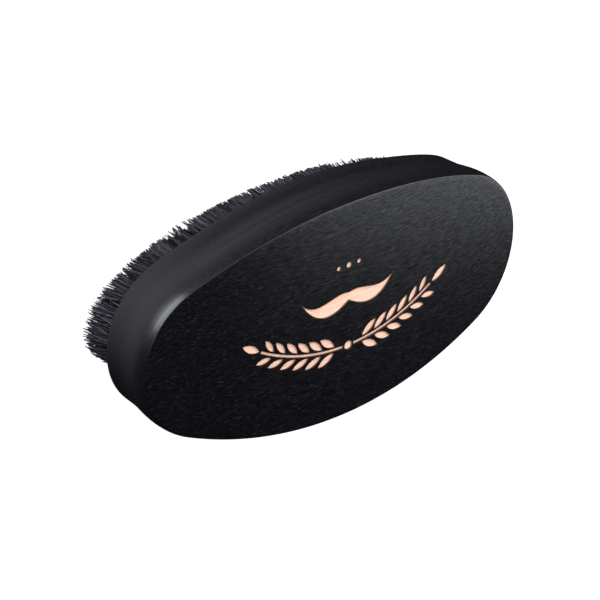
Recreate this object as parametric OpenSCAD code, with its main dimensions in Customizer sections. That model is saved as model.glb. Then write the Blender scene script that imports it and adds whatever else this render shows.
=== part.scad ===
// Oval palm brush for a beard: a solid wooden block with a grip groove round its side,
// a bowed face with an engraved ornament, and tufts of bristle held in blind holes.
// It stands on the tips of its bristles. The origin is under its middle, on that surface;
// +X runs along its length, +Y across its width and +Z up to the bowed face.

/* [Block] */
// Length of the block
block_l = 116; // [96:1:140]
// Width of the block
block_w = 58; // [48:1:70]
// Thickness of the block at its middle
block_t = 19.8; // [16.5:0.1:24]
// Radius of the oval's two ends
end_r = 21.5; // [17:0.5:23]
// Drop of the bowed face from its middle to its ends
bow_drop = 5; // [2:0.5:6]

/* [Grip groove] */
// Height of the rounded lip under the groove
lip_h = 4.5; // [3.5:0.1:6]
// Distance from the rim in to the lip
lip_inset = 1.2; // [0.6:0.1:2]
// Radius of the lip's lower edge
lip_round = 2.5; // [1:0.1:3]
// Height of the groove's upper edge above the bristle side
groove_top = 13; // [10.5:0.1:15.6]
// Depth of the groove under the line that joins its two edges
groove_depth = 1.1; // [0.5:0.1:1.6]

/* [Tuft holes] */
// Diameter of a hole
hole_d = 2.4; // [2:0.1:2.9]
// Depth of a hole
hole_depth = 8; // [6.5:0.1:10]
// Distance from the rim at the ends to the endmost holes
end_margin = 9.6; // [8:0.1:12]
// Distance from the rim at the sides to the outermost line of holes
side_margin = 11; // [9.2:0.1:13.2]
// Least distance from the rim to the centre of any hole
rim_margin = 9; // [7.5:0.1:9.6]
// Number of columns of holes along the length, an odd number
column_count = 39; // [33:2:45]
// Number of lines of holes across the width, an odd number
line_count = 9; // [7:2:11]

/* [Tufts] */
// Length of the bristles outside the block
bristle_l = 12.8; // [9:0.1:18]
// Space all round between a tuft and its hole
root_clearance = 0.04; // [0.02:0.01:0.1]
// Distance that a tuft spreads over the edge of its hole
neck_spread = 0.2; // [0.1:0.05:0.4]
// Gap between the tips of neighbouring tufts
tip_gap = 0.7; // [0.5:0.1:1.5]
// Distance that the endmost tufts lean outwards
end_lean = 4.2; // [1:0.1:5.5]
// Distance that the outermost line of tufts leans outwards
side_lean = 1; // [0.5:0.1:2]
// Height that the outermost tufts are trimmed shorter than the middle ones
edge_trim = 2.2; // [0:0.1:3]
// Share of the way out to the rim of the tuft field over which the tips lie flat
flat_share = 0.55; // [0.3:0.05:0.8]

/* [Anchors] */
// Thickness of the flat wire
wire_t = 0.35; // [0.25:0.05:0.5]
// Width of the flat wire
wire_w = 1.6; // [1.2:0.1:2]
// Distance that each end of an anchor bites into the wood
bite = 0.2; // [0.1:0.05:0.35]
// Thickness of the bristles folded under an anchor
fold_t = 0.6; // [0.4:0.1:1]
// Turn of the anchors from the wood's grain
anchor_turn = 30; // [0:5:60]

/* [Engraving] */
// Depth of the engraving
engrave_depth = 0.3; // [0.1:0.05:0.6]
// Place of the ornament's middle along the face
ornament_x = 2; // [-8:1:8]
// Width of the whole ornament
ornament_w = 66; // [40:1:76]
// Radius of the curved stems
stem_r = 54; // [45:1:70]
// Thickness of a stem
stem_t = 0.8; // [0.6:0.1:1.2]
// Length of a leaf beside the stem
leaf_l = 5.8; // [4:0.2:6.4]
// Width of a leaf
leaf_w = 2; // [1.4:0.1:2.2]
// Number of pairs of leaves on each stem
leaf_pairs = 6; // [3:1:7]
// Wood left between a leaf and its stem
cut_gap = 0.4; // [0.3:0.1:0.8]
// Radius of the round dots
dot_r = 0.8; // [0.5:0.1:1.2]
// Width of the moustache
moustache_w = 31; // [20:1:40]
// Rise of the moustache's tips over its middle
moustache_h = 3.6; // [2.4:0.1:4.5]
// Place of the lowest point of the stems across the face
sprig_y = -10; // [-12:0.5:-8]
// Place of the moustache's middle across the face
moustache_y = 3.5; // [2:0.5:5]
// Place of the dots across the face
dot_y = 12; // [10.5:0.5:14]

/* [Hidden] */
$fn = 96;
// Small step past a face, so that a cut goes right through it
past = 1;
// Steps along each half of the moustache's edge
curl_steps = 14;

// Oval of four arcs: two ends, and two long sides tangent to them.
// The sides' radius is a whole number of hundredths, so that the arcs meet without a step.
half_l = block_l / 2;
half_w = block_w / 2;
end_x = half_l - end_r;
side_r = round(50 * (end_x ^ 2 + half_w ^ 2 - end_r ^ 2) / (half_w - end_r)) / 100;
arc_arm = side_r - end_r;
side_y = sqrt(arc_arm ^ 2 - end_x ^ 2);
// Half of the angle that each end arc spans
end_a = atan2(side_y, end_x);

// Heights above the surface that the brush stands on
mouth_z = bristle_l;
floor_z = mouth_z + hole_depth;
top_z = mouth_z + block_t;
bow_r = (half_l ^ 2 + bow_drop ^ 2) / (2 * bow_drop);

// The groove is an arc through the lip's upper corner and the rim
groove_rise = groove_top - lip_h;
groove_chord = norm([lip_inset, groove_rise]);
groove_r = (groove_chord ^ 2 / 4 + groove_depth ^ 2) / (2 * groove_depth);
groove_off = groove_r - groove_depth;
groove_mid = [-lip_inset / 2, (lip_h + groove_top) / 2];
groove_out = [groove_rise, -lip_inset] / groove_chord;
groove_c = groove_mid + groove_off * groove_out;

// The holes stand in a staggered grid
column_step = 2 * (half_l - end_margin) / (column_count - 1);
line_step = 2 * (half_w - side_margin) / (line_count - 1);
middle_column = (column_count - 1) / 2;
middle_line = (line_count - 1) / 2;
row_count = (column_count + 1) / 2;

// Each tuft is a root that fills its hole and a cone that widens to its tip
root_r = hole_d / 2 - root_clearance;
neck_r = hole_d / 2 + neck_spread;
lean_l = end_lean / (half_l - end_margin);
lean_w = side_lean / (half_w - side_margin);
tip_across = 2 * column_step * (1 + lean_l);
tip_aslant = norm([column_step * (1 + lean_l), line_step * (1 + lean_w)]);
tip_r = (min(tip_across, tip_aslant) - tip_gap) / 2;
anchor_l = hole_d + 2 * bite;

function row_name(kind, row) = str(kind, row < 10 ? "0" : "", row);

// Distance from a point inside the oval to its rim
function in_end(x, y) = abs(x) > end_x && atan2(abs(y), abs(x) - end_x) < end_a;
function rim_gap(x, y) = in_end(x, y)
    ? end_r - norm([abs(x) - end_x, y])
    : side_r - norm([x, abs(y) + side_y]);

// Middles of the holes in one column, every second line being left out
function column(i) = [
    for (j = [-middle_line : middle_line])
        let (x = (i - middle_column) * column_step)
        let (y = j * line_step)
        if ((i + j) % 2 == 0 && rim_gap(x, y) >= rim_margin) [x, y]
];
// A row across the brush is two neighbouring columns
function row_holes(row) = [
    for (i = [2 * row - 2 : min(2 * row - 1, column_count - 1)])
        for (hole = column(i)) hole
];

// How far out a hole stands, from 0 at the middle to 1 at the edge of the tuft field
function reach(hole) = norm([
    hole.x / (half_l - end_margin),
    hole.y / (half_w - side_margin)
]);
function trim_z(hole) = edge_trim
    * max(0, (min(reach(hole), 1) - flat_share) / (1 - flat_share)) ^ 2;
// From the mouth of a hole to the middle of its tuft's tip
function tuft_way(hole) = [lean_l * hole.x, lean_w * hole.y, trim_z(hole) - mouth_z];

// Section of the block's side: x is 0 at the rim, y is 0 at the bristle side
module side_section(inwards) {
    difference() {
        translate([-inwards, 0])
            square([inwards, block_t + past]);
        translate([-lip_inset, -past])
            square([lip_inset + past, past + lip_h + groove_rise / 2]);
        translate(groove_c)
            circle(r = groove_r);
        difference() {
            translate([-lip_inset - lip_round, -past])
                square([lip_round + past, lip_round + past]);
            translate([-lip_inset - lip_round, lip_round])
                circle(r = lip_round);
        }
    }
}

// A quarter of the oval, turned about the middle of an end so that its two arcs meet at angle 0
module quarter_blank() {
    spare_a = 3;
    end_turn = ceil(end_a) + spare_a;
    side_turn = ceil(90 - end_a) + spare_a;
    translate([end_x, 0, mouth_z])
        rotate(end_a) {
            rotate_extrude(angle = end_turn, start = -end_turn)
                translate([end_r, 0])
                    side_section(end_r);
            translate([-arc_arm, 0])
                rotate_extrude(angle = side_turn, start = 0)
                    translate([side_r, 0])
                        side_section(half_w + end_r / 4);
        }
}

// A long round bar across the block: its top is the bowed face, lowered by "down"
module bow_bar(down) {
    translate([0, 0, top_z - bow_r])
        rotate([90, 0, 0])
            cylinder(r = bow_r - down, h = block_w + 4 * past, center = true, $fn = 720);
}

// A quarter under the bow, cut off level with the brush's two middle planes
module bowed_quarter() {
    intersection() {
        quarter_blank();
        bow_bar(0);
        translate([0, 0, mouth_z - past])
            cube([half_l + past, half_w + past, block_t + 2 * past]);
    }
}

module bowed_oval() {
    for (flip_x = [0, 1], flip_y = [0, 1])
        mirror([flip_x, 0, 0])
            mirror([0, flip_y, 0])
                bowed_quarter();
}

// A pointed leaf from the origin along +X, where two circles cross
module leaf(length, width) {
    arc_r = (length ^ 2 / 4 + width ^ 2 / 4) / width;
    intersection() {
        translate([length / 2, arc_r - width / 2])
            circle(r = arc_r);
        translate([length / 2, width / 2 - arc_r])
            circle(r = arc_r);
    }
}

// Half of a curled moustache is a curve from its middle, t = 0, to its tip, t = 1,
// with a thickness above and below that curve
function curl_y(t) = moustache_h * (-0.83 * t - 2.12 * t ^ 2 + 3.95 * t ^ 3);
function curl_t(t) = moustache_h * (0.3 + 2.5 * t) * (1 - t) ^ 1.6;
function moustache_edge(side) = [
    for (i = [-curl_steps : curl_steps])
        let (t = abs(i) / curl_steps)
        [side * moustache_w / 2 * i / curl_steps, curl_y(t) + side * curl_t(t)]
];

module moustache() {
    polygon(concat(moustache_edge(1), [
        for (i = [1 : 2 * curl_steps - 1]) moustache_edge(-1)[i]
    ]));
}

// A stem on an arc about the point above it, with leaves in pairs and one at its end
module sprig() {
    turn_per_mm = 180 / (PI * stem_r);
    stem_from = (1.5 * dot_r + cut_gap) * turn_per_mm;
    stem_to = asin((ornament_w / 2 - leaf_l - cut_gap) / stem_r);
    leaf_off = stem_t / 2 + cut_gap;
    leaf_spread = 32;
    translate([0, stem_r]) {
        intersection() {
            difference() {
                circle(r = stem_r + stem_t / 2, $fn = 360);
                circle(r = stem_r - stem_t / 2, $fn = 360);
            }
            polygon([
                [0, 0],
                2 * stem_r * [sin(stem_from), -cos(stem_from)],
                2 * stem_r * [sin(stem_to), -cos(stem_to)]
            ]);
        }
        for (pair = [0 : leaf_pairs - 1], side = [-1, 1]) {
            share = (pair + 0.7) / (leaf_pairs + 0.7);
            shrink = 1 - 0.25 * share;
            rotate(stem_from + (stem_to - stem_from) * share - 90)
                translate([stem_r + side * leaf_off, 0])
                    rotate(90 - side * leaf_spread)
                        leaf(leaf_l * shrink, leaf_w * shrink);
        }
        rotate(stem_to + cut_gap * turn_per_mm - 90)
            translate([stem_r, 0])
                rotate(90)
                    leaf(leaf_l, leaf_w);
    }
}

module ornament() {
    translate([0, moustache_y])
        moustache();
    translate([0, sprig_y])
        circle(r = 1.5 * dot_r);
    translate([0, dot_y])
        circle(r = dot_r);
    for (flip = [0, 1])
        mirror([flip, 0]) {
            translate([0, sprig_y])
                sprig();
            translate([4 * dot_r, dot_y])
                circle(r = 0.8 * dot_r);
        }
}

// The ornament as a cutter whose floor follows the bowed face
module engraving() {
    cut_h = bow_drop + engrave_depth + past;
    difference() {
        translate([ornament_x, 0, top_z + past - cut_h])
            linear_extrude(height = cut_h)
                ornament();
        bow_bar(engrave_depth);
    }
}

module hole_at(hole) {
    translate([hole.x, hole.y, mouth_z - past])
        cylinder(d = hole_d, h = hole_depth + past);
}

// A piece of flat wire across a hole, above the folded bristles
module anchor_at(hole) {
    translate([hole.x, hole.y, floor_z - fold_t - wire_w / 2])
        rotate(anchor_turn)
            cube([anchor_l, wire_t, wire_w], center = true);
}

// The exposed part of a tuft: a cone about its leaning middle line, cut off level at both ends
module tuft_cone(hole) {
    way = tuft_way(hole);
    way_l = norm(way);
    spare_l = tip_r;
    widening = (tip_r - neck_r) / way_l;
    intersection() {
        translate([hole.x, hole.y, mouth_z])
            rotate([0, acos(way.z / way_l), atan2(way.y, way.x)])
                translate([0, 0, -spare_l])
                    cylinder(
                        r1 = neck_r - widening * spare_l,
                        r2 = tip_r + widening * spare_l,
                        h = way_l + 2 * spare_l
                    );
        translate([hole.x - bristle_l, hole.y - bristle_l, trim_z(hole)])
            cube([2 * bristle_l, 2 * bristle_l, mouth_z - trim_z(hole)]);
    }
}

module tuft_at(hole) {
    difference() {
        union() {
            translate([hole.x, hole.y, mouth_z - neck_spread])
                cylinder(r = root_r, h = hole_depth + neck_spread);
            tuft_cone(hole);
        }
        anchor_at(hole);
    }
}

module block() {
    color("#1c1c20")
        difference() {
            bowed_oval();
            for (row = [1 : row_count], hole = row_holes(row)) {
                hole_at(hole);
                anchor_at(hole);
            }
            engraving();
        }
}

module tuft_row(row) {
    color("#3a3a42")
        for (hole = row_holes(row))
            tuft_at(hole);
}

module anchor_row(row) {
    color("silver")
        for (hole = row_holes(row))
            anchor_at(hole);
}

block();
for (row = [1 : row_count]) {
    tuft_row(row);
    anchor_row(row);
}
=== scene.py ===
# %% [markdown]
# # A beard brush: stained wood, an engraved ornament and thirty thousand bristles
#
# The real brush is one block of hardwood. A cutter has rounded it to an oval, run a groove round
# its side for the fingers and bowed its face. It is then drilled, stained black, engraved, and
# filled with tufts of bristle, each one folded double and pinned down by a bit of flat wire.
#
# The measured model has all of those pieces in their places, but plain. This lesson keeps every
# place and size and gives the pieces their real surface.

# %% Load the measured model
import math

import bmesh
import bpy
import numpy as np
from mathutils import Matrix, Vector


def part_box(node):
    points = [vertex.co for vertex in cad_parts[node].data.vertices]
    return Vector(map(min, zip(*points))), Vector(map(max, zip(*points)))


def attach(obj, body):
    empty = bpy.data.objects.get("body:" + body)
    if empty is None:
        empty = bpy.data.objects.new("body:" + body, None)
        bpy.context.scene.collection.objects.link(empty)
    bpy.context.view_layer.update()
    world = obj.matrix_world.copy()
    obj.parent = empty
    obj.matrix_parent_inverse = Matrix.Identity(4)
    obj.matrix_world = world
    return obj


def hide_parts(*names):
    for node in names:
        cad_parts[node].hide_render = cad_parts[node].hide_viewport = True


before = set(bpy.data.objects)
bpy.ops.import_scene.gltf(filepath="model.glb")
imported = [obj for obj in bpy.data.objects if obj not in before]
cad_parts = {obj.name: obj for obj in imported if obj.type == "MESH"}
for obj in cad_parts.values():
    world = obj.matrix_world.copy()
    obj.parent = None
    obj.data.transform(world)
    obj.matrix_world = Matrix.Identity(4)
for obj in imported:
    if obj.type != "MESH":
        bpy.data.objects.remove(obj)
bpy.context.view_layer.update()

MM = 0.001
SEED = 11

# %% [markdown]
# ## Camera first
#
# A product picture is taken from far away through a long lens, so that parallel edges stay
# parallel. Here the camera looks down on one end of the brush, and it is rolled so far over that
# the bristles point to the upper left. It is easiest to say that with three directions: where the
# picture's right and its down point on the brush, and where the camera looks.

# %% Place the camera
PICTURE_RIGHT = Vector((0.7639, 0.0126, 0.6453))
LOOKING = Vector((0.5661, -0.4933, -0.6605)).normalized()
CAMERA_DISTANCE = 5.6
LENS_MM = 1400
# From the middle of the block's bristle side to the middle of the picture
AIM_RIGHT, AIM_DOWN = 2.95 * MM, 5.11 * MM


def make_camera():
    right = (PICTURE_RIGHT - PICTURE_RIGHT.dot(LOOKING) * LOOKING).normalized()
    down = LOOKING.cross(right)
    aim = Vector((0, 0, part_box("block")[0][2])) + AIM_RIGHT * right + AIM_DOWN * down
    camera = bpy.data.objects.new("camera", bpy.data.cameras.new("camera"))
    camera.data.lens = LENS_MM
    camera.data.clip_start, camera.data.clip_end = 0.05, 50
    axes = Matrix((right, -down, -LOOKING)).transposed().to_4x4()
    camera.matrix_world = Matrix.Translation(aim - CAMERA_DISTANCE * LOOKING) @ axes
    bpy.context.scene.collection.objects.link(camera)
    bpy.context.scene.camera = camera
    print("camera stands at", [round(v, 2) for v in camera.matrix_world.translation], "m")


make_camera()

# %% [markdown]
# ## Helpers for node trees
#
# Both the shapes that repeat and the finishes are node trees. Three small helpers keep them
# readable: one adds a node and wires its inputs by name, one starts a Geometry Nodes tree with
# named inputs, and one runs such a tree on an object and keeps the result as a plain mesh.


# %% Helpers for node trees
def add(tree, kind, inputs=None, **settings):
    """Adds a node. Its settings are keywords; inputs maps a socket to a value or to an output."""
    node = tree.nodes.new(kind)
    for name, value in settings.items():
        setattr(node, name, value)
    for key, value in (inputs or {}).items():
        socket = node.inputs[key]
        if isinstance(value, bpy.types.NodeSocket):
            tree.links.new(value, socket)
        else:
            socket.default_value = value
    return node


def math_node(tree, operation, *values):
    """A Math node's output."""
    return add(tree, "ShaderNodeMath", dict(enumerate(values)), operation=operation).outputs[0]


def vector_node(tree, operation, *values, scale=None):
    """A Vector Math node's output: its vector, or its number where the operation gives one."""
    node = add(tree, "ShaderNodeVectorMath", dict(enumerate(values)), operation=operation)
    if scale is not None:
        if isinstance(scale, bpy.types.NodeSocket):
            tree.links.new(scale, node.inputs["Scale"])
        else:
            node.inputs["Scale"].default_value = scale
    return node.outputs["Value" if operation in ("LENGTH", "DISTANCE", "DOT_PRODUCT") else "Vector"]


def start_tree(name, **sockets):
    """A Geometry Nodes tree whose inputs are Geometry and the named sockets, given as name=type."""
    tree = bpy.data.node_groups.new(name, "GeometryNodeTree")
    tree.interface.new_socket("Geometry", in_out="INPUT", socket_type="NodeSocketGeometry")
    for title, kind in sockets.items():
        label = title.replace("_", " ").capitalize()
        tree.interface.new_socket(label, in_out="INPUT", socket_type="NodeSocket" + kind)
    tree.interface.new_socket("Geometry", in_out="OUTPUT", socket_type="NodeSocketGeometry")
    given = tree.nodes.new("NodeGroupInput")
    return tree, given.outputs


def end_tree(tree, geometry, material):
    """Every tree ends alike: instances made real, then the material set where one is given."""
    real = add(tree, "GeometryNodeRealizeInstances", {"Geometry": geometry}).outputs[0]
    if material is not None:
        setter = add(tree, "GeometryNodeSetMaterial", {"Geometry": real, "Material": material})
        real = setter.outputs[0]
    result = tree.nodes.new("NodeGroupOutput")
    tree.links.new(real, result.inputs[0])


def run_tree(source, tree, name, **values):
    """Runs the tree on the source mesh object and gives back its result as a plain mesh object."""
    modifier = source.modifiers.new(tree.name, "NODES")
    modifier.node_group = tree
    for socket in tree.interface.items_tree:
        key = socket.name.lower().replace(" ", "_")
        if socket.item_type == "SOCKET" and socket.in_out == "INPUT" and key in values:
            modifier[socket.identifier] = values[key]
    depsgraph = bpy.context.evaluated_depsgraph_get()
    mesh = bpy.data.meshes.new_from_object(source.evaluated_get(depsgraph), depsgraph=depsgraph)
    source.modifiers.remove(modifier)
    bpy.data.objects.remove(source)
    mesh.name = name
    return link_mesh(mesh, name)


def link_mesh(mesh, name):
    piece = bpy.data.objects.new(name, mesh)
    bpy.context.scene.collection.objects.link(piece)
    return piece


def mesh_object(name, points, faces, material_of_face=None):
    mesh = bpy.data.meshes.new(name)
    mesh.from_pydata([tuple(p) for p in points], [], faces)
    if material_of_face is not None:
        mesh.polygons.foreach_set("material_index", material_of_face)
    return link_mesh(mesh, name)


# %% [markdown]
# ## Finishes
#
# ** Stained wood.** Beech is a close-grained wood: fine fibres and short flecks run along the
# length. The stain is nearly black and soaks in unevenly, so the fibres show as faint grey lines
# and the gloss is broken up. A noise stretched along the length gives the fibres, a second one the
# flecks. The fibres drive colour, roughness, gloss and a very small bump; the flecks drive colour,
# gloss and the bump.


# %% Shared pattern of the grain
def stretched_noise(tree, place, across, along, detail=3.0, seed=0.0):
    """Noise drawn out along the grain. across and along are the sizes of its streaks in metres."""
    scaled = add(tree, "ShaderNodeMapping", {"Vector": place, "Location": (seed, seed, seed)})
    scaled.inputs["Scale"].default_value = (1 / along, 1 / across, 1 / across)
    noise = add(tree, "ShaderNodeTexNoise", {"Vector": scaled.outputs[0], "Detail": detail})
    noise.inputs["Scale"].default_value = 1.0
    return noise.outputs["Fac"]


def remap(tree, value, low, high, to_low=0.0, to_high=1.0):
    return add(tree, "ShaderNodeMapRange", {
        "Value": value, "From Min": low, "From Max": high, "To Min": to_low, "To Max": to_high,
    }).outputs["Result"]


def mix_colour(tree, share, first, second):
    """first and second are colours or outputs; share runs from first, 0, to second, 1."""
    node = add(tree, "ShaderNodeMix", data_type="RGBA")
    for key, value in (("Factor_Float", share), ("A_Color", first), ("B_Color", second)):
        socket = next(s for s in node.inputs if s.identifier == key)
        if isinstance(value, bpy.types.NodeSocket):
            tree.links.new(value, socket)
        else:
            socket.default_value = value
    return next(s for s in node.outputs if s.identifier == "Result_Color")


def start_material(name):
    material = bpy.data.materials.new(name)
    material.use_nodes = True
    tree = material.node_tree
    shader = tree.nodes["Principled BSDF"]
    place = tree.nodes.new("ShaderNodeTexCoord").outputs["Object"]
    return material, tree, shader, place


def bump(tree, shader, height, distance):
    node = add(tree, "ShaderNodeBump", {"Height": height, "Distance": distance, "Strength": 1.0})
    tree.links.new(node.outputs["Normal"], shader.inputs["Normal"])


# %% Black-stained wood
STAIN_DARK = (0.0016, 0.0015, 0.0022, 1)
STAIN_LIGHT = (0.0036, 0.0036, 0.0047, 1)
FLECK_GREY = (0.015, 0.015, 0.018, 1)


def stained_wood():
    material, tree, shader, place = start_material("black_stained_wood")
    fibres = stretched_noise(tree, place, 0.34 * MM, 3.2 * MM, 3.0)
    clouds = stretched_noise(tree, place, 6 * MM, 26 * MM, 2.0, 3.0)
    flecks = stretched_noise(tree, place, 0.32 * MM, 1.5 * MM, 1.0, 7.0)
    streak = remap(tree, fibres, 0.42, 0.68)
    uneven = math_node(tree, "MULTIPLY", streak, remap(tree, clouds, 0.3, 0.7, 0.45, 1.0))
    stain = mix_colour(tree, uneven, STAIN_DARK, STAIN_LIGHT)
    facing_up = add(tree, "ShaderNodeSeparateXYZ")
    geometry = tree.nodes.new("ShaderNodeNewGeometry")
    tree.links.new(geometry.outputs["Normal"], facing_up.inputs[0])
    face = remap(tree, facing_up.outputs["Z"], 0.8, 0.98)
    fleck = math_node(tree, "MULTIPLY", remap(tree, flecks, 0.66, 0.74), face)
    colour = mix_colour(tree, fleck, stain, FLECK_GREY)
    tree.links.new(colour, shader.inputs["Base Color"])
    rough = remap(tree, uneven, 0.0, 1.0, 0.26, 0.32)
    tree.links.new(rough, shader.inputs["Roughness"])
    grain = math_node(tree, "ADD", math_node(tree, "MULTIPLY", fibres, 0.5),
                      math_node(tree, "MULTIPLY", flecks, 0.5))
    # The face is grained, the wall is sanded smoother
    sheen = remap(tree, grain, 0.38, 0.62, 0.10, 0.28)
    sheen = math_node(tree, "ADD", math_node(tree, "MULTIPLY", sheen, face),
                      math_node(tree, "MULTIPLY", 0.2, math_node(tree, "SUBTRACT", 1.0, face)))
    tree.links.new(sheen, shader.inputs["Specular IOR Level"])
    relief = math_node(tree, "MULTIPLY", math_node(tree, "ADD", fibres, flecks), face)
    bump(tree, shader, relief, 0.012 * MM)
    return material


STAINED = stained_wood()

# %% [markdown]
# **Bare wood and scorched wood.** The ornament is burnt in by a beam, which takes the stain away
# and leaves the pale wood bare, with a brown line where the cut's edge was scorched. Inside the
# drilled holes the wood is raw too.

# %% Bare wood and scorched wood
WOOD_PALE = (0.60, 0.385, 0.285, 1)
WOOD_DEEP = (0.44, 0.255, 0.175, 1)
SCORCH = (0.085, 0.040, 0.024, 1)


def bare_wood(name, pale, deep):
    material, tree, shader, place = start_material(name)
    fibres = stretched_noise(tree, place, 0.2 * MM, 5 * MM, 3.0)
    colour = mix_colour(tree, remap(tree, fibres, 0.35, 0.68), pale, deep)
    tree.links.new(colour, shader.inputs["Base Color"])
    shader.inputs["Roughness"].default_value = 0.72
    bump(tree, shader, fibres, 0.03 * MM)
    return material


BARE = bare_wood("bare_wood", WOOD_PALE, WOOD_DEEP)
SCORCHED = bare_wood("scorched_wood", SCORCH, tuple(0.5 * c for c in SCORCH[:3]) + (1,))

# %% [markdown]
# **Bristle.** Each bristle is a stiff, dark, slightly glossy hair. No two have quite the same
# grey, so every strand carries its own number from 0 to 1, an attribute named `shade`.
#
# **Anchor wire.** Drawn flat wire is bright and shows fine lines along its length.

# %% Bristle and wire
BRISTLE_DARK = (0.004, 0.004, 0.006, 1)
BRISTLE_GREY = (0.024, 0.023, 0.030, 1)


def bristle():
    material, tree, shader, place = start_material("black_bristle")
    shade = add(tree, "ShaderNodeAttribute", attribute_name="shade").outputs["Fac"]
    shade = math_node(tree, "POWER", shade, 2.2)
    colour = mix_colour(tree, shade, BRISTLE_DARK, BRISTLE_GREY)
    tree.links.new(colour, shader.inputs["Base Color"])
    tree.links.new(remap(tree, shade, 0.0, 1.0, 0.06, 0.55), shader.inputs["Specular IOR Level"])
    worn = stretched_noise(tree, place, 1.5 * MM, 1.5 * MM, 2.0)
    tree.links.new(remap(tree, worn, 0.3, 0.7, 0.30, 0.44), shader.inputs["Roughness"])
    return material


def anchor_wire():
    material, tree, shader, place = start_material("drawn_wire")
    lines = stretched_noise(tree, place, 0.05 * MM, 3 * MM, 2.0)
    colour = mix_colour(tree, lines, (0.46, 0.45, 0.43, 1), (0.72, 0.71, 0.68, 1))
    tree.links.new(colour, shader.inputs["Base Color"])
    shader.inputs["Metallic"].default_value = 1.0
    tree.links.new(remap(tree, lines, 0.3, 0.7, 0.25, 0.4), shader.inputs["Roughness"])
    bump(tree, shader, lines, 0.01 * MM)
    return material


BRISTLE = bristle()
WIRE = anchor_wire()

# %% [markdown]
# ## The block's shape
#
# Seen from above, the block is an oval of four arcs: two ends, and two long sides that run into
# them smoothly. Seen in section, its side has a rounded lip at the bristles, a shallow groove, and
# a nearly upright band that ends in a crisp edge at the face. The face is bowed along its length
# like a slice of a large barrel.
#
# A shape that follows a rule like this is made by sweeping: the section is carried round the oval
# and its points are joined to quads. The face and the bristle side are then filled with rings that
# shrink towards the middle line, so that every face stays a quad.

# %% Sizes of the block
BLOCK_LOW, BLOCK_HIGH = (Vector(p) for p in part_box("block"))
HALF_L, HALF_W = BLOCK_HIGH.x, BLOCK_HIGH.y
UNDERSIDE, TOP = BLOCK_LOW.z, BLOCK_HIGH.z
END_R = 21.5 * MM
BOW_DROP = 5 * MM
LIP_H, LIP_INSET, LIP_ROUND = 4.5 * MM, 1.2 * MM, 2.5 * MM
GROOVE_TOP, GROOVE_DEPTH = 13 * MM, 1.1 * MM
SANDED = 1.3 * MM

END_X = HALF_L - END_R
SIDE_R = (END_X**2 + HALF_W**2 - END_R**2) / (2 * (HALF_W - END_R))
SIDE_Y = SIDE_R - HALF_W
END_TURN = math.atan2(SIDE_Y, END_X)
BOW_R = (HALF_L**2 + BOW_DROP**2) / (2 * BOW_DROP)
print("side radius (mm):", round(SIDE_R / MM, 2), " bow radius (mm):", round(BOW_R / MM, 1))


# Across its width the face is crowned by this much, nearly all of it above the plain bow
CROWN, CROWN_SHARE = 0.7 * MM, 0.9


def face_z(x, y):
    """Height of the bowed and crowned face over a place."""
    bow = TOP - BOW_R + math.sqrt(BOW_R**2 - x * x)
    return bow + CROWN * (CROWN_SHARE - (y / HALF_W) ** 2)


# %% The oval and the section of the side
STATIONS_END, STATIONS_SIDE = 28, 46


def oval_quarter():
    """Stations of one quarter of the oval: where the rim is, and which way is out."""
    stations = []
    for i in range(STATIONS_END):
        turn = END_TURN * i / STATIONS_END
        out = (math.cos(turn), math.sin(turn))
        stations.append((END_X + END_R * out[0], END_R * out[1], *out))
    for i in range(STATIONS_SIDE + 1):
        turn = END_TURN + (math.pi / 2 - END_TURN) * i / STATIONS_SIDE
        out = (math.cos(turn), math.sin(turn))
        stations.append((SIDE_R * out[0], SIDE_R * out[1] - SIDE_Y, *out))
    return stations


def oval():
    """All stations, once round from the +X end."""
    quarter = oval_quarter()
    half = quarter + [(-x, y, -u, v) for x, y, u, v in reversed(quarter[:-1])]
    return half + [(x, -y, u, -v) for x, y, u, v in reversed(half[1:-1])]


def arc(centre, radius, start, end, steps):
    turns = np.radians(np.linspace(start, end, steps + 1))
    return [(centre[0] + radius * math.cos(a), centre[1] + radius * math.sin(a)) for a in turns]


def raw_section():
    """Points (inwards, up) of the lip and the groove as they are cut, with sharp corners."""
    lip = arc((LIP_INSET + LIP_ROUND, LIP_ROUND), LIP_ROUND, -90, -180, 8)
    rise = GROOVE_TOP - LIP_H
    chord = math.hypot(LIP_INSET, rise)
    radius = (chord**2 / 4 + GROOVE_DEPTH**2) / (2 * GROOVE_DEPTH)
    middle = Vector((LIP_INSET / 2, (LIP_H + GROOVE_TOP) / 2))
    centre = middle - Vector((rise, LIP_INSET)) / chord * (radius - GROOVE_DEPTH)
    start = math.degrees(math.atan2(LIP_H - centre.y, LIP_INSET - centre.x))
    end = math.degrees(math.atan2(GROOVE_TOP - centre.y, -centre.x))
    return lip + arc(centre, radius, start, end, 16) + [(0.0, 2 * GROOVE_TOP)]


def side_section():
    """The same section with its corners sanded soft, up to a little above the groove."""
    raw = np.array(raw_section())
    sanding = np.linspace(-SANDED, SANDED, 9)
    heights = np.linspace(LIP_ROUND, GROOVE_TOP + SANDED, 24)
    insets = [np.interp(z + sanding, raw[:, 1], raw[:, 0]).mean() for z in heights]
    insets[0] = LIP_INSET
    lip = [tuple(p) for p in raw[:8]]
    return lip + list(zip(insets, heights))


SECTION = side_section()
OVAL = oval()
print("stations:", len(OVAL), " section points:", len(SECTION))

# %% [markdown]
# The groove is there for the fingers, so it is deepest along the two sides and runs out at the
# ends, where the wall is plain. Near the face the wall swells a little and rolls in to the edge.
# The edge itself is a crisp quarter round, which catches the light as a thin line. The roll is
# widest at the corner of -X and +Y, and narrower towards +X and -Y.


# %% How the section changes round the oval
# Distances from the middle of the block, along it, where the groove starts to fade and is gone
GROOVE_FULL, GROOVE_GONE = 24 * MM, 47 * MM
END_ROUND, END_INSET = 0.7 * MM, 1.1 * MM
# The swell grows between two heights over the bristle side
SWELL, SWELL_FROM, SWELL_FULL = 0.55 * MM, 5 * MM, 12 * MM
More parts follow.
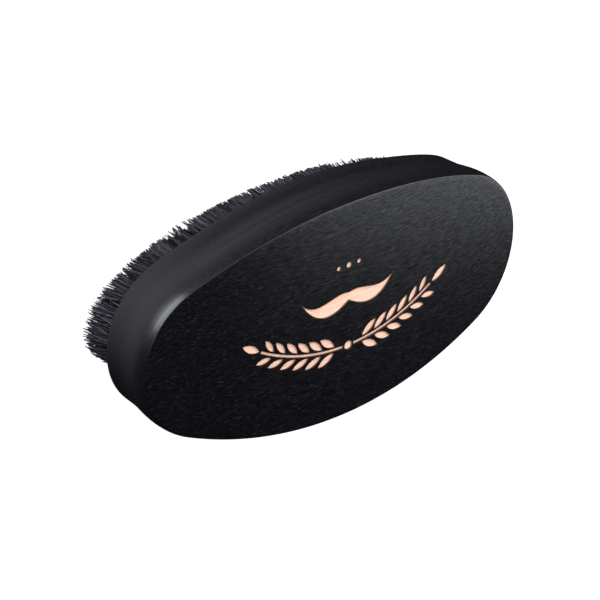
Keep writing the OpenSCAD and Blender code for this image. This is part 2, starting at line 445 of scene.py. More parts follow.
# The roll loses this share of its tilt towards +X and towards -Y
ROLL_R, ROLL_TILT, ROLL_LOST = 6.5 * MM, math.radians(31), 0.6
ROLL_WIDE_X, ROLL_NARROW_X = 0.0, 50 * MM
ROLL_WIDE_Y, ROLL_NARROW_Y = 4 * MM, -16 * MM
EDGE_R = 0.4 * MM


def smoothstep(low, high, value):
    t = min(max((value - low) / (high - low), 0.0), 1.0)
    return t * t * (3 - 2 * t)


def plain_inset(z):
    """How far in the wall is at the ends of the block, where there is no groove."""
    under = max(END_ROUND - z, 0.0)
    corner = END_ROUND - math.sqrt(END_ROUND**2 - under**2)
    return END_INSET * max(1 - z / GROOVE_TOP, 0.0) + corner


def roll_tilt(x, y):
    """How far over the wall leans where it meets the edge."""
    lost_along = smoothstep(ROLL_WIDE_X, ROLL_NARROW_X, x)
    lost_across = smoothstep(-ROLL_WIDE_Y, -ROLL_NARROW_Y, -y)
    return ROLL_TILT * (1 - ROLL_LOST * max(lost_along, lost_across))


def roll_in(below_edge, tilt):
    """How far the wall has rolled in at this distance under the edge."""
    rest = ROLL_R * math.sin(tilt) - below_edge
    return ROLL_R - math.sqrt(ROLL_R**2 - rest**2) if rest > 0 else 0.0


# %% Sweep the section and fill both faces
BAND_ROWS, EDGE_ROWS, FILL_ROWS = 8, 5, 22
MIDDLE_LINE = 0.55


def ring(station):
    """Points up one station of the side: lip, groove, band, rounded edge."""
    x, y, u, v = station
    groove_share = 1 - smoothstep(GROOVE_FULL, GROOVE_GONE, abs(x))
    tilt = roll_tilt(x, y)
    edge_rise = EDGE_R * (1 - math.sin(tilt))
    edge_z = face_z(x, y) - UNDERSIDE
    roll_top = edge_z - edge_rise
    heights = [z for _, z in SECTION]
    insets = [groove_share * d + (1 - groove_share) * plain_inset(z) for d, z in SECTION]
    band_from = heights.pop()
    insets.pop()
    for i in range(BAND_ROWS + 1):
        heights.append(band_from + (roll_top - band_from) * i / BAND_ROWS)
        insets.append(0.0)
    points = []
    for z, inset in zip(heights, insets):
        inwards = inset - SWELL * smoothstep(SWELL_FROM, SWELL_FULL, z) + roll_in(roll_top - z, tilt)
        points.append((x - inwards * u, y - inwards * v, UNDERSIDE + z))
    wall_top = inwards
    for i in range(1, EDGE_ROWS + 1):
        turn = tilt + (math.pi / 2 - tilt) * i / EDGE_ROWS
        inwards = wall_top + EDGE_R * (math.cos(tilt) - math.cos(turn))
        px, py = x - inwards * u, y - inwards * v
        points.append((px, py, face_z(px, py) - EDGE_R * (1 - math.sin(turn))))
    return points


def fill(edge, height_at):
    """Rings from an edge point of each station to the middle line, given as a list per station."""
    columns = []
    for (x, y, _), (along, *_) in zip(edge, OVAL):
        # Both sides reach the middle line at the same spot, though their edges differ
        inner_x = along * END_X / HALF_L * (1 + MIDDLE_LINE * (1 - abs(along) / HALF_L))
        column = []
        for i in range(1, FILL_ROWS + 1):
            t = i / FILL_ROWS
            px, py = x + (inner_x - x) * t, y * (1 - t)
            column.append((px, py, height_at(px, py)))
        columns.append(column)
    return columns


def block_blank():
    rings = [ring(station) for station in OVAL]
    upper = fill([r[-1] for r in rings], face_z)
    lower = fill([r[0] for r in rings], lambda x, y: UNDERSIDE)
    columns = [low[::-1] + side + high for low, side, high in zip(lower, rings, upper)]
    rows = len(columns[0])
    points = [p for column in columns for p in column]
    count = len(columns)
    starts = [(i * rows, (i + 1) % count * rows) for i in range(count)]
    faces = [(a + j, b + j, b + j + 1, a + j + 1) for a, b in starts for j in range(rows - 1)]
    blank = mesh_object("block_blank", points, faces)
    clean = bmesh.new()
    clean.from_mesh(blank.data)
    bmesh.ops.remove_doubles(clean, verts=clean.verts, dist=0.002 * MM)
    bmesh.ops.dissolve_degenerate(clean, edges=clean.edges, dist=0.002 * MM)
    bmesh.ops.recalc_face_normals(clean, faces=clean.faces)
    open_edges = sum(not e.is_manifold for e in clean.edges)
    clean.to_mesh(blank.data)
    clean.free()
    print("block blank:", len(blank.data.polygons), "faces,", open_edges, "open edges")
    return blank


BLANK = block_blank()

# %% [markdown]
# ## The ornament
#
# Two leafy sprigs meet under a curled moustache. Every shape of the ornament is long and narrow,
# so one helper makes them all: it takes cross lines along the shape and builds a closed cutter from
# them. A narrow strip along each side of the cutter's floor is given the scorched finish, and so
# are its walls, so that the cut has its brown outline without any extra work.
#
# The leaves repeat, so Geometry Nodes set them out along the stems. The cutters are made flat, and
# the tree's last step drops each point by the bow of the face under it. Then the block loses
# whatever the cutters hold.

# %% Cutters from cross lines
ENGRAVE_DEPTH = 0.3 * MM
CUTTER_TOP = 0.5 * MM
SCORCH_WIDTH = 0.11 * MM
ORNAMENT_X = 2 * MM
ORNAMENT_W = 66 * MM
STEM_R, STEM_T = 54 * MM, 0.8 * MM
LEAF_L, LEAF_W, LEAF_PAIRS, LEAF_SPREAD = 5.8 * MM, 2.0 * MM, 6, math.radians(32)
CUT_GAP = 0.4 * MM
DOT_R = 0.8 * MM
MOUSTACHE_W, MOUSTACHE_H = 31 * MM, 3.6 * MM
SPRIG_Y, MOUSTACHE_Y, DOT_Y = -10 * MM, 3.5 * MM, 12 * MM
FLOOR, EDGE = 0, 1
CUT_FINISHES = [BARE, SCORCHED]


def cutter(cross_lines):
    """Points, faces and finishes of a closed cutter. Each cross line is a pair of (x, y) ends."""
    points, faces, finishes = [], [], []
    for left, right in cross_lines:
        left, right = Vector(left), Vector(right)
        width = (right - left).length
        rim = (right - left) * min(SCORCH_WIDTH / width, 0.45)
        for spot in (left, left + rim, right - rim, right):
            points.append((spot.x, spot.y, -ENGRAVE_DEPTH))
        for spot in (right, left):
            points.append((spot.x, spot.y, CUTTER_TOP))
    for i in range(len(cross_lines) - 1):
        for j in range(6):
            k = (j + 1) % 6
            faces.append((6 * i + j, 6 * i + k, 6 * i + 6 + k, 6 * i + 6 + j))
            finishes.append(FLOOR if j == 1 else EDGE)
    last = 6 * (len(cross_lines) - 1)
    faces.append(tuple(reversed(range(6))))
    faces.append(tuple(last + j for j in range(6)))
    finishes += [EDGE, EDGE]
    return points, faces, finishes


def leaf_lines(steps=14):
    """A pointed leaf of length 1 along x, where two circles cross. Its width is in that unit."""
    width = LEAF_W / LEAF_L
    radius = (1 + width * width) / (4 * width)
    lines = []
    for i in range(steps + 1):
        x = 0.5 - 0.5 * math.cos(math.pi * (0.04 + 0.92 * i / steps))
        half = math.sqrt(radius**2 - (x - 0.5) ** 2) - radius + width / 2
        lines.append(((x, half), (x, -half)))
    return lines


def round_lines(centre, radius, steps=16):
    lines = []
    for i in range(steps + 1):
        turn = math.pi * (0.03 + 0.94 * i / steps)
        x, half = -radius * math.cos(turn), radius * math.sin(turn)
        lines.append(((centre[0] + x, centre[1] + half), (centre[0] + x, centre[1] - half)))
    return lines


def moustache_lines(steps=18):
    lines = []
    for i in range(-steps, steps + 1):
        t = abs(i) / steps * 0.985
        x = math.copysign(t, i) * MOUSTACHE_W / 2
        y = MOUSTACHE_Y + MOUSTACHE_H * (-0.83 * t - 2.12 * t**2 + 3.95 * t**3)
        half = MOUSTACHE_H * (0.3 + 2.5 * t) * (1 - t) ** 1.6
        lines.append(((x, y + half), (x, y - half)))
    return lines


STEM_FROM = (1.5 * DOT_R + CUT_GAP) / STEM_R
STEM_TO = math.asin((ORNAMENT_W / 2 - LEAF_L - CUT_GAP) / STEM_R)


def on_stem(turn, side, away=0.0):
    """A point on a stem, turn radians from its lowest point, away from its middle line."""
    reach = STEM_R + away
    return (side * reach * math.sin(turn), SPRIG_Y + STEM_R - reach * math.cos(turn))


def stem_lines(side, steps=26):
    lines = []
    for i in range(steps + 1):
        turn = STEM_FROM + (STEM_TO - STEM_FROM) * i / steps
        ends = (on_stem(turn, side, -STEM_T / 2), on_stem(turn, side, STEM_T / 2))
        lines.append(ends if side > 0 else ends[::-1])
    return lines


def cutter_object(name, shapes):
    points, faces, finishes = [], [], []
    for lines in shapes:
        p, f, m = cutter(lines)
        faces += [tuple(i + len(points) for i in face) for face in f]
        points += p
        finishes += m
    piece = mesh_object(name, points, faces, finishes)
    for finish in CUT_FINISHES:
        piece.data.materials.append(finish)
    clean = bmesh.new()
    clean.from_mesh(piece.data)
    bmesh.ops.recalc_face_normals(clean, faces=clean.faces)
    clean.to_mesh(piece.data)
    clean.free()
    return piece


PLAIN_CUTTERS = cutter_object("plain_cutters", [
    moustache_lines(),
    stem_lines(1),
    stem_lines(-1),
    round_lines((0, SPRIG_Y), 1.5 * DOT_R),
    round_lines((0, DOT_Y), DOT_R),
    round_lines((4 * DOT_R, DOT_Y), 0.8 * DOT_R),
    round_lines((-4 * DOT_R, DOT_Y), 0.8 * DOT_R),
])
print("plain cutters:", len(PLAIN_CUTTERS.data.polygons), "faces")


# %% Where the leaves grow
def leaf_spots():
    """Place, heading and size of every leaf."""
    spots = []
    for side in (1, -1):
        for pair in range(LEAF_PAIRS):
            share = (pair + 0.7) / (LEAF_PAIRS + 0.7)
            turn = STEM_FROM + (STEM_TO - STEM_FROM) * share
            for away in (1, -1):
                base = on_stem(turn, side, away * (STEM_T / 2 + CUT_GAP))
                heading = turn - away * LEAF_SPREAD
                spots.append((base, side, heading, LEAF_L * (1 - 0.25 * share)))
        turn = STEM_TO + CUT_GAP / STEM_R
        spots.append((on_stem(turn, side), side, turn, LEAF_L))
    return spots


def leaf_points():
    """A mesh of single points, with each leaf's heading and length as attributes."""
    spots = leaf_spots()
    piece = mesh_object("leaf_points", [(*base, 0) for base, *_ in spots], [])
    heading = piece.data.attributes.new("heading", "FLOAT", "POINT")
    length = piece.data.attributes.new("length", "FLOAT", "POINT")
    headings = [h if side > 0 else math.pi - h for _, side, h, _ in spots]
    heading.data.foreach_set("value", headings)
    length.data.foreach_set("value", [size for *_, size in spots])
    return piece


def named(tree, name, kind="FLOAT"):
    return add(tree, "GeometryNodeInputNamedAttribute", {"Name": name}, data_type=kind).outputs[0]


# %% The tree that engraves the block
def engrave_tree():
    tree, given = start_tree(
        "engrave", block="Object", plain_cutters="Object", leaf="Object",
        bow_radius="Float", top="Float", crown="Float", half_width="Float",
    )

    def shape(name):
        return add(tree, "GeometryNodeObjectInfo", {"Object": given[name]}).outputs["Geometry"]

    turn = add(tree, "ShaderNodeCombineXYZ", {"Z": named(tree, "heading")}).outputs[0]
    size = named(tree, "length")
    stretch = add(tree, "ShaderNodeCombineXYZ", {"X": size, "Y": size, "Z": 1.0}).outputs[0]
    leaves = add(tree, "GeometryNodeInstanceOnPoints", {
        "Points": given["Geometry"], "Instance": shape("Leaf"), "Rotation": turn, "Scale": stretch,
    }).outputs[0]
    leaves = add(tree, "GeometryNodeRealizeInstances", {"Geometry": leaves}).outputs[0]
    join = tree.nodes.new("GeometryNodeJoinGeometry")
    tree.links.new(leaves, join.inputs[0])
    tree.links.new(shape("Plain cutters"), join.inputs[0])
    cutters = add(tree, "GeometryNodeTransform", {
        "Geometry": join.outputs[0], "Translation": (ORNAMENT_X, 0, 0),
    }).outputs[0]
    here = add(tree, "GeometryNodeInputPosition").outputs[0]
    spot = add(tree, "ShaderNodeSeparateXYZ", {0: here})
    squares = math_node(tree, "SUBTRACT",
                        math_node(tree, "MULTIPLY", given["Bow radius"], given["Bow radius"]),
                        math_node(tree, "MULTIPLY", spot.outputs["X"], spot.outputs["X"]))
    height = math_node(tree, "SUBTRACT", math_node(tree, "SQRT", squares), given["Bow radius"])
    height = math_node(tree, "ADD", height, given["Top"])
    aside = math_node(tree, "DIVIDE", spot.outputs["Y"], given["Half width"])
    fall = math_node(tree, "SUBTRACT", CROWN_SHARE, math_node(tree, "MULTIPLY", aside, aside))
    height = math_node(tree, "ADD", height, math_node(tree, "MULTIPLY", fall, given["Crown"]))
    lift = add(tree, "ShaderNodeCombineXYZ", {"Z": height}).outputs[0]
    cutters = add(tree, "GeometryNodeSetPosition", {"Geometry": cutters, "Offset": lift}).outputs[0]
    carve = add(tree, "GeometryNodeMeshBoolean", operation="DIFFERENCE", solver="MANIFOLD")
    tree.links.new(shape("Block"), carve.inputs["Mesh 1"])
    tree.links.new(cutters, carve.inputs["Mesh 2"])
    end_tree(tree, carve.outputs["Mesh"], None)
    return tree


BLANK.data.materials.append(STAINED)
LEAF = cutter_object("leaf_cutter", [leaf_lines()])
ENGRAVED = run_tree(
    leaf_points(), engrave_tree(), "engraved_block",
    block=BLANK, plain_cutters=PLAIN_CUTTERS, leaf=LEAF,
    bow_radius=BOW_R, top=TOP, crown=CROWN, half_width=HALF_W,
)
finishes = [m.name for m in ENGRAVED.data.materials]
print("engraved block:", len(ENGRAVED.data.polygons), "faces,", finishes)
for helper in (BLANK, PLAIN_CUTTERS, LEAF):
    bpy.data.objects.remove(helper)

# %% [markdown]
# ## Drilling the holes
#
# A drill makes every hole alike, so the tree puts the same cylinder on every hole's place and takes
# them all out of the block at once. The places are read from the measured model, where each tuft
# fills its own hole, so the holes can't miss the tufts.


# %% Where the tufts stand
def loose_parts(piece):
    """The separate solids of a measured piece, each one an array of its points."""
    count = len(piece.data.vertices)
    spots = np.empty(count * 3)
    piece.data.vertices.foreach_get("co", spots)
    spots = spots.reshape(-1, 3)
    microns = np.round(spots / (0.001 * MM)).astype(np.int64)
    same = np.unique(microns, axis=0, return_inverse=True)[1].reshape(-1)
    parent = np.arange(same.max() + 1)

    def find(i):
        while parent[i] != i:
            parent[i] = parent[parent[i]]
            i = parent[i]
        return i

    for polygon in piece.data.polygons:
        first, *rest = (find(same[v]) for v in polygon.vertices)
        for other in rest:
            parent[find(other)] = first
            first = find(first)
    owner = np.array([find(s) for s in same])
    return [spots[owner == key] for key in sorted(set(owner.tolist()))]


def middle(points, level):
    """Middle of the points that lie at this height, and half their spread."""
    at_level = points[np.abs(points[:, 2] - level) < 0.05 * MM]
    low, high = at_level.min(axis=0), at_level.max(axis=0)
    return (low + high) / 2, (high - low) / 2


TUFT_ROWS = sorted(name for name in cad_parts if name.startswith("tuft_row"))
TUFTS = {}
for row_name in TUFT_ROWS:
    tufts = []
    for part in loose_parts(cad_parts[row_name]):
        root, _ = middle(part, part[:, 2].max())
        tip, spread = middle(part, part[:, 2].min())
        tufts.append((root, tip, spread))
    TUFTS[row_name] = tufts
ALL_TUFTS = [tuft for tufts in TUFTS.values() for tuft in tufts]
HOLE_R = 1.2 * MM
HOLE_DEPTH = 8 * MM
first_root = [round(float(v) / MM, 2) for v in ALL_TUFTS[0][0]]
print("tufts:", len(ALL_TUFTS), " root of the first (mm):", first_root)


# %% The tree that drills the block
def drill_tree():
    tree, given = start_tree("drill", block="Object", hole_radius="Float", hole_depth="Float")
    block = add(tree, "GeometryNodeObjectInfo", {"Object": given["Block"]}).outputs["Geometry"]
    past = 1 * MM
    depth = math_node(tree, "ADD", given["Hole depth"], past)
    bit = add(tree, "GeometryNodeMeshCylinder", {
        "Vertices": 20, "Radius": given["Hole radius"], "Depth": depth,
    }).outputs["Mesh"]
    bit = add(tree, "GeometryNodeSetMaterial", {"Geometry": bit, "Material": BARE}).outputs[0]
    lift = math_node(tree, "SUBTRACT", math_node(tree, "MULTIPLY", depth, 0.5), past)
    shift = add(tree, "ShaderNodeCombineXYZ", {"Z": lift}).outputs[0]
    bit = add(tree, "GeometryNodeTransform", {"Geometry": bit, "Translation": shift}).outputs[0]
    places = add(tree, "GeometryNodeMeshToPoints", {"Mesh": given["Geometry"]}).outputs[0]
    bits = add(tree, "GeometryNodeInstanceOnPoints", {"Points": places, "Instance": bit}).outputs[0]
    bits = add(tree, "GeometryNodeRealizeInstances", {"Geometry": bits}).outputs[0]
    carve = add(tree, "GeometryNodeMeshBoolean", operation="DIFFERENCE", solver="MANIFOLD")
    tree.links.new(block, carve.inputs["Mesh 1"])
    tree.links.new(bits, carve.inputs["Mesh 2"])
    end_tree(tree, carve.outputs["Mesh"], None)
    return tree


mouths = [(root[0], root[1], UNDERSIDE) for root, _, _ in ALL_TUFTS]
BLOCK = run_tree(
    mesh_object("hole_points", mouths, []), drill_tree(), "stained_block",
    block=ENGRAVED, hole_radius=HOLE_R, hole_depth=HOLE_DEPTH,
)
bpy.data.objects.remove(ENGRAVED)


# %% Smooth sides and crisp edges
def finish_mesh(piece, crease_degrees):
    clean = bmesh.new()
    clean.from_mesh(piece.data)
    bmesh.ops.remove_doubles(clean, verts=clean.verts, dist=0.0005 * MM)
    clean.to_mesh(piece.data)
    open_edges = sum(not e.is_manifold for e in clean.edges)
    clean.free()
    piece.data.shade_smooth()
    piece.data.set_sharp_from_angle(angle=math.radians(crease_degrees))
    print(piece.name, ":", len(piece.data.polygons), "faces,", open_edges, "open edges")
    # A cut that fails gives back an empty mesh and no error
    if not piece.data.polygons:
        raise RuntimeError(piece.name + " lost all its faces")


finish_mesh(BLOCK, 30)
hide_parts("block")
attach(BLOCK, "root")

# %% [markdown]
# ## The bristles
#
# A tuft is a bundle of bristle, folded double in the hole, so its strands stand close together at
# the root and fan out to the tip. None is quite straight, none quite the same length, and a few
# cross over their neighbours. The brush is trimmed when it is full, so its edge is an even oval.
#
# That is a job for Geometry Nodes. Each tuft is one point that knows where its root and tip are.
# The tree copies the point once for each strand, spreads the copies like the seeds of a sunflower,
# so that they cover the round without clumping, and adds a little chance to each. Every copy then
# becomes a short curve, bent along its length, and gets a three-sided profile, which at a third
# of a millimetre is all that the eye can see.


# %% One point for each tuft
# Half the length and half the width of the oval that the tips fill
TIP_OVAL = np.array([max(abs(t[axis]) + s[axis] for _, t, s in ALL_TUFTS) for axis in (0, 1)])
# Tips spread past the measured tuft by this factor, and lean out over a gap of at most this much
FAN = 1.3
REACH_OUT = 6 * MM


def lean(tip, spread):
    """The way out of the brush from this tip, and how far its outer strands must lean that way."""
    spot = np.array(tip[:2])
    share = math.hypot(*(spot / TIP_OVAL))
    gap = math.hypot(*spot) * (1 / share - 1)
    way = Vector((*(spot / TIP_OVAL**2), 0.0)).normalized()
    return way, way * (max(gap - FAN * spread[0], 0.0) if gap < REACH_OUT else 0.0)


def tuft_points(name, tufts):
    roots, tips, spreads = zip(*tufts)
    ways, leans = zip(*(lean(tip, spread) for tip, spread in zip(tips, spreads)))
    piece = mesh_object(name + "_points", roots, [])
    for label, values in zip(("tip", "tip_spread", "way_out", "lean"), (tips, spreads, ways, leans)):
        attribute = piece.data.attributes.new(label, "FLOAT_VECTOR", "POINT")
        attribute.data.foreach_set("vector", np.array(values, dtype=float).ravel())
    return piece


# %% The tree that grows the strands
def random_float(tree, low, high, seed, number):
    """A random number for each strand. number keeps the draws of one strand apart."""
    node = add(tree, "FunctionNodeRandomValue", data_type="FLOAT")
    keyed = math_node(tree, "ADD", seed, float(number))
    for socket in node.inputs:
        if socket.identifier == "Min_001":
            socket.default_value = low
        elif socket.identifier == "Max_001":
            socket.default_value = high
        elif socket.identifier == "Seed":
            tree.links.new(keyed, socket)
    return next(s for s in node.outputs if s.identifier == "Value_001")


def store(tree, geometry, name, value, kind="FLOAT"):
    node = add(tree, "GeometryNodeStoreNamedAttribute", {"Geometry": geometry, "Name": name},
               data_type=kind, domain="POINT")
    socket = next(s for s in node.inputs if s.name == "Value" and s.enabled)
    tree.links.new(value, socket)
    return node.outputs[0]


def scale_up(tree, vector, factor):
    return vector_node(tree, "SCALE", vector, scale=factor)


# %% Where each strand starts and ends
# The turn from one sunflower seed to the next, and how far a seed may be off it
SEED_TURN, TURN_CHANCE = 2.39996, 0.35
# Under 0.5, so that the rim of a tuft is a little fuller than its middle
RIM_POWER = 0.42


def seed_disc(tree, given, number):
    """A place in a round of radius 1 for each copy, the way sunflower seeds lie."""
    share = math_node(tree, "DIVIDE", math_node(tree, "ADD", number, 0.5), given["Strands"])
    reach = math_node(tree, "POWER", share, RIM_POWER)
    chance = random_float(tree, -TURN_CHANCE, TURN_CHANCE, given["Seed"], 1)
    turn = math_node(tree, "ADD", math_node(tree, "MULTIPLY", number, SEED_TURN), chance)
    across = math_node(tree, "MULTIPLY", reach, math_node(tree, "COSINE", turn))
    along = math_node(tree, "MULTIPLY", reach, math_node(tree, "SINE", turn))
    return add(tree, "ShaderNodeCombineXYZ", {"X": across, "Y": along}).outputs[0]


def strand_tip(tree, given, disc):
    """Where a strand would end if nothing trimmed it."""
    fanned = vector_node(tree, "MULTIPLY", disc, named(tree, "tip_spread", "FLOAT_VECTOR"))
    fanned = scale_up(tree, fanned, given["Fan"])
    # The outer strands of an outer tuft lean out, so that the brush has an even edge
    outer = vector_node(tree, "DOT_PRODUCT", disc, named(tree, "way_out", "FLOAT_VECTOR"))
    outer = math_node(tree, "MAXIMUM", outer, 0.0)
    leaning = scale_up(tree, named(tree, "lean", "FLOAT_VECTOR"), outer)
    # Most strands stray a little; the cube keeps the few that stray far
    stray = []
    for draw in (2, 3):
        chance = math_node(tree, "POWER", random_float(tree, -1.0, 1.0, given["Seed"], draw), 3.0)
        stray.append(math_node(tree, "MULTIPLY", chance, given["Stray"]))
    astray = add(tree, "ShaderNodeCombineXYZ", {"X": stray[0], "Y": stray[1]}).outputs[0]
    tip = vector_node(tree, "ADD", named(tree, "tip", "FLOAT_VECTOR"),
                      vector_node(tree, "ADD", fanned, leaning))
    return vector_node(tree, "ADD", tip, astray)


def trimmed(tree, given, tip):
    """A tip outside the oval comes back to it."""
    parts = add(tree, "ShaderNodeSeparateXYZ", {"Vector": tip}).outputs
    sides = add(tree, "ShaderNodeCombineXYZ", {
        "X": math_node(tree, "DIVIDE", parts["X"], given["Oval x"]),
        "Y": math_node(tree, "DIVIDE", parts["Y"], given["Oval y"]),
    }).outputs[0]
    past = math_node(tree, "MAXIMUM", vector_node(tree, "LENGTH", sides), 1.0)
    back = math_node(tree, "DIVIDE", random_float(tree, 0.97, 1.0, given["Seed"], 9), past)
    return add(tree, "ShaderNodeCombineXYZ", {
        "X": math_node(tree, "MULTIPLY", parts["X"], back),
        "Y": math_node(tree, "MULTIPLY", parts["Y"], back),
        "Z": parts["Z"],
    }).outputs[0]


def strand_length(tree, given):
    """The share of its full length that a strand keeps."""
    chance = math_node(tree, "POWER", random_float(tree, 0.0, 1.0, given["Seed"], 4), 2.0)
    most_lost = math_node(tree, "SUBTRACT", 1.0, given["Shortest"])
    return math_node(tree, "SUBTRACT", 1.0, math_node(tree, "MULTIPLY", chance, most_lost))


def strand_bow(tree, given):
    """Which way a strand bends, and how much."""
    turn = random_float(tree, 0.0, 2 * math.pi, given["Seed"], 5)
    size = random_float(tree, 0.1, 1.0, given["Seed"], 6)
    size = math_node(tree, "MULTIPLY", size, given["Bend"])
    return add(tree, "ShaderNodeCombineXYZ", {
        "X": math_node(tree, "MULTIPLY", size, math_node(tree, "COSINE", turn)),
        "Y": math_node(tree, "MULTIPLY", size, math_node(tree, "SINE", turn)),
    }).outputs[0]


# %% From points to hairs
TAPER_FROM, TAPER_TO = 0.6, 0.8


def hairs_on(tree, given, spots):
    """A bent, three-sided hair on every point, along the run and the bow that it carries."""
    line = add(tree, "GeometryNodeCurvePrimitiveLine", {"Start": (0, 0, 0), "End": (0, 0, 1)})
    line = add(tree, "GeometryNodeResampleCurve",
               {"Curve": line.outputs[0], "Count": given["Strand steps"]}).outputs[0]
    curves = add(tree, "GeometryNodeInstanceOnPoints", {"Points": spots, "Instance": line})
    curves = add(tree, "GeometryNodeRealizeInstances", {"Geometry": curves.outputs[0]}).outputs[0]
    # Along a strand: the run from root to tip, and a bend that is widest at the middle
    factor = add(tree, "GeometryNodeSplineParameter").outputs["Factor"]
    run_here = scale_up(tree, named(tree, "run", "FLOAT_VECTOR"), factor)
    belly = math_node(tree, "SINE", math_node(tree, "MULTIPLY", factor, math.pi))
    bow_here = scale_up(tree, named(tree, "bow", "FLOAT_VECTOR"), belly)
    unit = add(tree, "ShaderNodeCombineXYZ", {"Z": factor}).outputs[0]
    shift = vector_node(tree, "SUBTRACT", vector_node(tree, "ADD", run_here, bow_here), unit)
    curves = add(tree, "GeometryNodeSetPosition", {"Geometry": curves, "Offset": shift}).outputs[0]
    taper = remap(tree, factor, TAPER_FROM, 1.0, 1.0, TAPER_TO)
    stout = math_node(tree, "MULTIPLY", named(tree, "stoutness"), given["Thickness"])
    radius = math_node(tree, "MULTIPLY", math_node(tree, "MULTIPLY", stout, taper), 0.5)
    profile = add(tree, "GeometryNodeCurvePrimitiveCircle", {"Resolution": 3, "Radius": 1.0})
    hairs = add(tree, "GeometryNodeCurveToMesh", {
        "Curve": curves, "Profile Curve": profile.outputs[0], "Scale": radius, "Fill Caps": True,
    }).outputs[0]
    smooth = add(tree, "GeometryNodeSetShadeSmooth", {"Geometry": hairs, "Shade Smooth": True})
    return smooth.outputs[0]


def strand_tree():
    tree, given = start_tree(
        "strands", strands="Int", thickness="Float", root_radius="Float", stray="Float",
        shortest="Float", bend="Float", seed="Int", strand_steps="Int", fan="Float",
        oval_x="Float", oval_y="Float",
    )
    points = add(tree, "GeometryNodeMeshToPoints", {"Mesh": given["Geometry"]}).outputs[0]
    copies = add(tree, "GeometryNodeDuplicateElements",
                 {"Geometry": points, "Amount": given["Strands"]}, domain="POINT")
    disc = seed_disc(tree, given, copies.outputs["Duplicate Index"])
    spots = store(tree, copies.outputs["Geometry"], "disc", disc, "FLOAT_VECTOR")
    disc = named(tree, "disc", "FLOAT_VECTOR")
    here = add(tree, "GeometryNodeInputPosition").outputs[0]
    start = vector_node(tree, "ADD", here, scale_up(tree, disc, given["Root radius"]))
    end = trimmed(tree, given, strand_tip(tree, given, disc))
    run = scale_up(tree, vector_node(tree, "SUBTRACT", end, start), strand_length(tree, given))
    spots = store(tree, spots, "run", run, "FLOAT_VECTOR")
    spots = store(tree, spots, "bow", strand_bow(tree, given), "FLOAT_VECTOR")
    spots = store(tree, spots, "shade", random_float(tree, 0.0, 1.0, given["Seed"], 7))
    spots = store(tree, spots, "stoutness", random_float(tree, 0.75, 1.15, given["Seed"], 8))
    spots = add(tree, "GeometryNodeSetPosition", {"Geometry": spots, "Position": start}).outputs[0]
    end_tree(tree, hairs_on(tree, given, spots), BRISTLE)
    return tree


# %% Grow every row
STRAND_TREE = strand_tree()
ROOT_R = 1.0 * MM
SEEDS_APART = 20
# Attributes that only the tree needs
WORKING = ("run", "bow", "disc", "stoutness", "tip", "tip_spread", "way_out", "lean")
total = 0
for index, row_name in enumerate(TUFT_ROWS):
    row = run_tree(
        tuft_points(row_name, TUFTS[row_name]), STRAND_TREE,
        row_name.replace("tuft_row", "bristles"),
        strands=230, thickness=0.32 * MM, root_radius=ROOT_R, stray=4.0 * MM, fan=FAN,
        oval_x=float(TIP_OVAL[0]), oval_y=float(TIP_OVAL[1]),
        shortest=0.96, bend=0.8 * MM, seed=SEED + SEEDS_APART * index, strand_steps=4,
    )
    for extra in [a.name for a in row.data.attributes if a.name in WORKING]:
        row.data.attributes.remove(row.data.attributes[extra])
    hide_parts(row_name)
    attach(row, "root")
    total += len(row.data.polygons)
print("bristle rows:", len(TUFT_ROWS), " faces:", total)

# %% [markdown]
# ## The anchors
#
# Their shape in the measured model is already right: short lengths of flat wire, bitten a little
# into the wood on both sides of the hole. They only need their metal.

# %% Metal on the anchors
for name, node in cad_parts.items():
    if name.startswith("anchor_row"):
        node.data.materials.clear()
        node.data.materials.append(WIRE)
print("anchors finished")

# %% [markdown]
# ## Floor and light
#
# The upright side of the brush mirrors what lies low beside it. The floor itself would be far too
# bright there, so it stays out of the mirror images, and a soft glow in the room's own light gives
# the side its satin grey. The face mirrors what stands low behind the brush, so one large soft box
# there decides how bright the black face looks and where it fades. A box at the left end lights
# the bristles and draws the light on the shoulder, and two more draw the line along the edge.


# %% Floor
FLOOR_HALF = 3.0


def make_floor():
    material, tree, shader, place = start_material("pale_floor")
    cloud = stretched_noise(tree, place, 0.5, 0.5, 2.0)
    colour = mix_colour(tree, cloud, (0.14, 0.14, 0.14, 1), (0.16, 0.16, 0.16, 1))
    tree.links.new(colour, shader.inputs["Base Color"])
    shader.inputs["Roughness"].default_value = 0.9
    shader.inputs["Specular IOR Level"].default_value = 0.1
    shader.inputs["Emission Color"].default_value = (1, 1, 1, 1)
    shader.inputs["Emission Strength"].default_value = 0.92
    corners = [(x * FLOOR_HALF, y * FLOOR_HALF, 0) for x, y in ((-1, -1), (1, -1), (1, 1), (-1, 1))]
    floor = mesh_object("floor", corners, [(0, 1, 2, 3)])
    floor.data.materials.append(material)
    floor.visible_glossy = False
    floor.visible_shadow = False


make_floor()


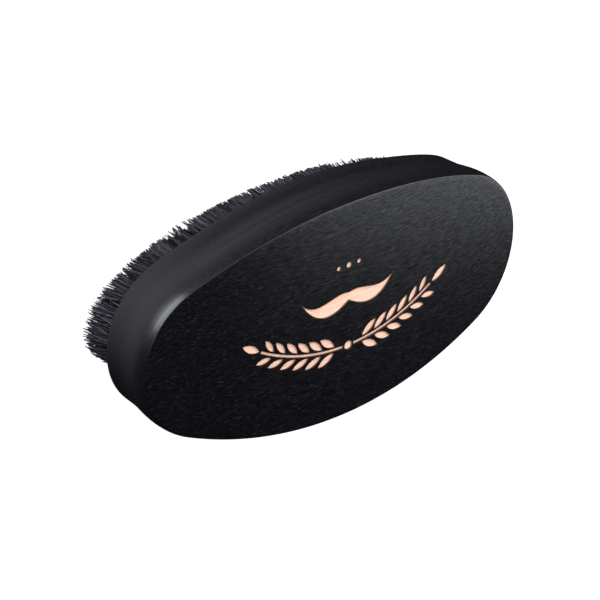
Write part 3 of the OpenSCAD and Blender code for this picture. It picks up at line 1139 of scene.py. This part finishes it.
# %% Lights
def soft_box(name, spot, width, height, radiance, tint=(1, 1, 1)):
    """A rectangular light at a spot, turned to the brush. Only its light is seen, not the box."""
    light = bpy.data.lights.new(name, "AREA")
    light.shape = "RECTANGLE"
    light.size, light.size_y = width, height
    light.energy = radiance * math.pi * width * height
    light.color = tint
    box = bpy.data.objects.new(name, light)
    box.location = spot
    away = Vector(spot) - Vector((0, 0, 0.03))
    box.rotation_euler = away.to_track_quat("Z", "Y").to_euler()
    box.visible_camera = False
    bpy.context.scene.collection.objects.link(box)


soft_box("back_box", (0.233, 0.011, 0.1685), 0.253, 0.36, 3.4, (0.93, 0.96, 1.0))
soft_box("left_box", (-0.43, 0.46, 0.115), 0.50, 0.20, 18, (0.90, 0.95, 1.0))
soft_box("edge_box", (0.16, 0.52, 0.36), 0.6, 0.26, 6, (0.92, 0.95, 1.0))
soft_box("rim_box", (0.40, 0.36, 0.42), 0.42, 0.36, 9, (0.92, 0.95, 1.0))
soft_box("key_box", (-0.54, 0.40, 0.68), 0.9, 0.9, 4)


# %% [markdown]
# The gloss of the wall needs something to mirror. The room is almost dark, with one broad glow
# from below on the side where the camera stands, where a table would bounce the light, and a
# narrow one just over it. Both are only directions in the room's light, with nothing to see there.


# %% Room
ROOM_DIM = 0.012
# Each glow: where it comes from, how strong it is, and how narrow
TABLE_GLOW = ((-0.42, 0.60, -0.68), 1.7, 2.6)
SILL_GLOW = ((-0.66, 0.74, -0.12), 7.0, 16.0)


def make_room():
    world = bpy.data.worlds.new("soft_room")
    world.use_nodes = True
    tree = world.node_tree
    direction = tree.nodes.new("ShaderNodeTexCoord").outputs["Generated"]
    unit = vector_node(tree, "NORMALIZE", direction)
    strength = ROOM_DIM
    for glow_from, power, narrow in (TABLE_GLOW, SILL_GLOW):
        towards = vector_node(tree, "DOT_PRODUCT", unit, tuple(Vector(glow_from).normalized()))
        glow = math_node(tree, "POWER", math_node(tree, "MAXIMUM", towards, 0.0), narrow)
        strength = math_node(tree, "MULTIPLY_ADD", glow, power, strength)
    background = tree.nodes["Background"]
    background.inputs["Color"].default_value = (0.95, 0.97, 1.0, 1)
    tree.links.new(strength, background.inputs["Strength"])
    bpy.context.scene.world = world


make_room()
bpy.context.scene.view_settings.view_transform = "Standard"
